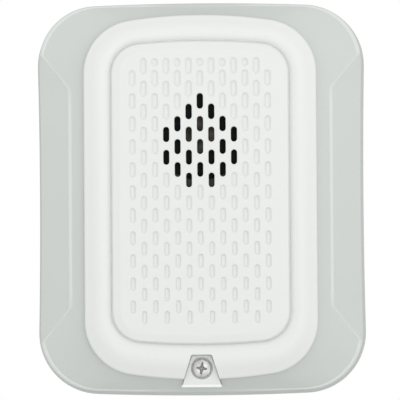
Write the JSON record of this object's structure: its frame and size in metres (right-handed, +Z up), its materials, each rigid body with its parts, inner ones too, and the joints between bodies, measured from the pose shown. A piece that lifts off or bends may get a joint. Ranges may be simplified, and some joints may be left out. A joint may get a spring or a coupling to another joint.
{
  "type": "alarm siren",
  "caption": "Wall-mounted alarm sounder: slotted grille in a white cover with a grey skirt, hung on a mounting plate and held by a captive screw.",
  "frame": {"origin": "centre of the rear mounting face, on the wall plane", "axes": "+Z up the wall, -Y out of the wall towards the viewer, +X to the viewer's right"},
  "size_m": [0.119, 0.032, 0.1428],
  "materials": {
    "plate_plastic": "moulded, fine texture",
    "cover_plastic": "moulded, fine texture",
    "panel_plastic": "moulded, satin",
    "skirt_plastic": "moulded, fine texture",
    "dark_plastic": "moulded",
    "switch_plastic": "moulded",
    "rotor_plastic": "moulded",
    "nylon": "natural",
    "brass": "drawn",
    "tinned_bronze": "tin plated",
    "steel": "zinc plated",
    "copper": "enamelled wire",
    "ceramic": "silvered",
    "ceramic_chip": "printed",
    "ferrite": "sintered",
    "board_laminate": "solder mask",
    "capacitor_sleeve": "shrink sleeve",
    "film_case": "dipped",
    "foam": "closed cell",
    "label": "printed film"
  },
  "bodies": {
    "mounting_base": {"mounting_plate": "plate_plastic", "screw_insert": "brass", "terminal_block": "dark_plastic", "shorting_spring": "tinned_bronze", "terminal_contact_1": "tinned_bronze", "terminal_contact_2": "tinned_bronze", "terminal_contact_3": "tinned_bronze", "terminal_contact_4": "tinned_bronze"},
    "appliance": {"front_cover": "cover_plastic", "trim_skirt": "skirt_plastic", "grille_panel": "panel_plastic", "rear_cover": "plate_plastic", "case_screws": "steel", "board_screws": "steel", "circuit_board": "board_laminate", "sounder_housing": "dark_plastic", "sounder_diaphragm": "brass", "piezo_disc": "ceramic", "sounder_cap": "dark_plastic", "sounder_gasket": "foam", "sounder_pins": "tinned_bronze", "coil_core": "ferrite", "coil_winding": "copper", "electrolytic_capacitor": "capacitor_sleeve", "film_capacitors": "film_case", "controller_chip": "dark_plastic", "controller_leads": "tinned_bronze", "transistors": "dark_plastic", "transistor_leads": "tinned_bronze", "diodes": "dark_plastic", "resistors": "ceramic_chip", "contact_fingers": "tinned_bronze", "selector_switch": "switch_plastic", "rating_label": "label"},
    "selector": {"selector_rotor": "rotor_plastic"},
    "screw_washer": {"retaining_washer": "nylon"},
    "cover_screw": {"captive_screw": "steel"},
    "clamp_1": {"clamp_plate_1": "steel"},
    "wiring_screw_1": {"terminal_screw_1": "steel"},
    "clamp_2": {"clamp_plate_2": "steel"},
    "wiring_screw_2": {"terminal_screw_2": "steel"},
    "clamp_3": {"clamp_plate_3": "steel"},
    "wiring_screw_3": {"terminal_screw_3": "steel"},
    "clamp_4": {"clamp_plate_4": "steel"},
    "wiring_screw_4": {"terminal_screw_4": "steel"}
  },
  "joints": [
    {"name": "cover_hinge", "type": "hinge", "parent": "mounting_base", "child": "appliance", "pos_m": [0, -0.0055, 0.0655], "axis": [-1, 0, 0], "range_deg": [0, 30]},
    {"name": "screw_travel", "type": "slide", "parent": "appliance", "child": "screw_washer", "axis": [0, -1, 0], "range_m": [0, 0.00635]},
    {"name": "screw_turn", "type": "hinge", "parent": "screw_washer", "child": "cover_screw", "pos_m": [0, -0.0123, -0.0614], "axis": [0, -1, 0], "range_deg": [0, 2881]},
    {"name": "selector_turn", "type": "hinge", "parent": "appliance", "child": "selector", "pos_m": [0.03, -0.0062, 0.02], "axis": [0, 1, 0], "range_deg": [0, 210]},
    {"name": "terminal_1_travel", "type": "slide", "parent": "mounting_base", "child": "clamp_1", "axis": [0, -1, 0], "range_m": [0, 0.00175]},
    {"name": "terminal_1_turn", "type": "hinge", "parent": "clamp_1", "child": "wiring_screw_1", "pos_m": [-0.0165, -0.006, -0.017], "axis": [0, -1, 0], "range_deg": [0, 1261]},
    {"name": "terminal_2_travel", "type": "slide", "parent": "mounting_base", "child": "clamp_2", "axis": [0, -1, 0], "range_m": [0, 0.00175]},
    {"name": "terminal_2_turn", "type": "hinge", "parent": "clamp_2", "child": "wiring_screw_2", "pos_m": [-0.0055, -0.006, -0.017], "axis": [0, -1, 0], "range_deg": [0, 1261]},
    {"name": "terminal_3_travel", "type": "slide", "parent": "mounting_base", "child": "clamp_3", "axis": [0, -1, 0], "range_m": [0, 0.00175]},
    {"name": "terminal_3_turn", "type": "hinge", "parent": "clamp_3", "child": "wiring_screw_3", "pos_m": [0.0055, -0.006, -0.017], "axis": [0, -1, 0], "range_deg": [0, 1261]},
    {"name": "terminal_4_travel", "type": "slide", "parent": "mounting_base", "child": "clamp_4", "axis": [0, -1, 0], "range_m": [0, 0.00175]},
    {"name": "terminal_4_turn", "type": "hinge", "parent": "clamp_4", "child": "wiring_screw_4", "pos_m": [0.0165, -0.006, -0.017], "axis": [0, -1, 0], "range_deg": [0, 1261]}
  ],
  "couplings": [
    {"joint": "screw_turn", "follows": "screw_travel", "rad_per_m": 7915.8},
    {"joint": "terminal_1_turn", "follows": "terminal_1_travel", "rad_per_m": 12566},
    {"joint": "terminal_2_turn", "follows": "terminal_2_travel", "rad_per_m": 12566},
    {"joint": "terminal_3_turn", "follows": "terminal_3_travel", "rad_per_m": 12566},
    {"joint": "terminal_4_turn", "follows": "terminal_4_travel", "rad_per_m": 12566}
  ]
}
